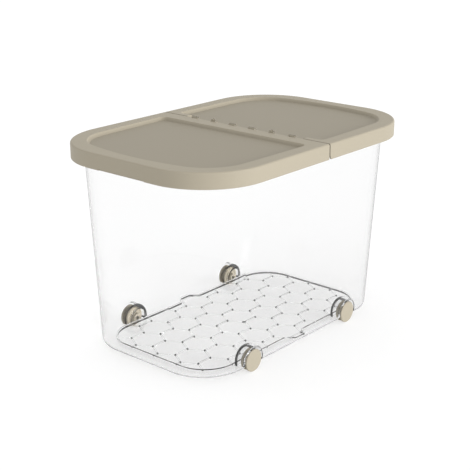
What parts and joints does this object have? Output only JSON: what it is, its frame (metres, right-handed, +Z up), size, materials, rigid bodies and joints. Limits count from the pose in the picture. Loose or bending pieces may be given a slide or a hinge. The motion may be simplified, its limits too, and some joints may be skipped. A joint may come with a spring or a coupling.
{
  "type": "wheeled storage bin",
  "caption": "Clear tapered storage bin for dry pet food, on small plastic wheels, with a lid in two halves that hinge across the middle.",
  "frame": {"origin": "on the floor, under the middle of the bin", "axes": "+X along the bin towards its rear lid half, +Y to its left side, +Z up"},
  "size_m": [0.592, 0.393, 0.3902],
  "materials": {
    "clear_plastic": "clear, glossy",
    "lid_plastic": "fine matte",
    "wheel_plastic": "fine matte",
    "pin_steel": "satin"
  },
  "bodies": {
    "tub": {"tub": "clear_plastic", "wheel_retainer_front_right": "pin_steel", "wheel_retainer_front_left": "pin_steel", "wheel_retainer_rear_right": "pin_steel", "wheel_retainer_rear_left": "pin_steel"},
    "lid_hinge": {"hinge_pin_1": "pin_steel", "hinge_pin_2": "pin_steel", "hinge_pin_3": "pin_steel", "hinge_pin_4": "pin_steel", "hinge_pin_5": "pin_steel", "hinge_pin_6": "pin_steel"},
    "front_lid": {"lid_front_half": "lid_plastic"},
    "rear_lid": {"lid_rear_half": "lid_plastic"},
    "wheel_front_right": {"wheel_front_right": "wheel_plastic", "wheel_cap_front_right": "wheel_plastic"},
    "wheel_front_left": {"wheel_front_left": "wheel_plastic", "wheel_cap_front_left": "wheel_plastic"},
    "wheel_rear_right": {"wheel_rear_right": "wheel_plastic", "wheel_cap_rear_right": "wheel_plastic"},
    "wheel_rear_left": {"wheel_rear_left": "wheel_plastic", "wheel_cap_rear_left": "wheel_plastic"}
  },
  "joints": [
    {"name": "lid_lift", "type": "slide", "parent": "tub", "child": "lid_hinge", "axis": [0, 0, 1], "range_m": [0, 0.06]},
    {"name": "front_lid_hinge", "type": "hinge", "parent": "lid_hinge", "child": "front_lid", "pos_m": [0.0089, 0, 0.385], "axis": [0, 1, 0], "range_deg": [0, 85]},
    {"name": "rear_lid_hinge", "type": "hinge", "parent": "lid_hinge", "child": "rear_lid", "pos_m": [0.0089, 0, 0.385], "axis": [0, -1, 0], "range_deg": [0, 85]},
    {"name": "wheel_front_right_spin", "type": "hinge", "parent": "tub", "child": "wheel_front_right", "pos_m": [-0.141, -0.148, 0.0205], "axis": [0, 1, 0], "continuous": true},
    {"name": "wheel_front_left_spin", "type": "hinge", "parent": "tub", "child": "wheel_front_left", "pos_m": [-0.141, 0.148, 0.0205], "axis": [0, 1, 0], "continuous": true},
    {"name": "wheel_rear_right_spin", "type": "hinge", "parent": "tub", "child": "wheel_rear_right", "pos_m": [0.141, -0.148, 0.0205], "axis": [0, 1, 0], "continuous": true},
    {"name": "wheel_rear_left_spin", "type": "hinge", "parent": "tub", "child": "wheel_rear_left", "pos_m": [0.141, 0.148, 0.0205], "axis": [0, 1, 0], "continuous": true}
  ]
}
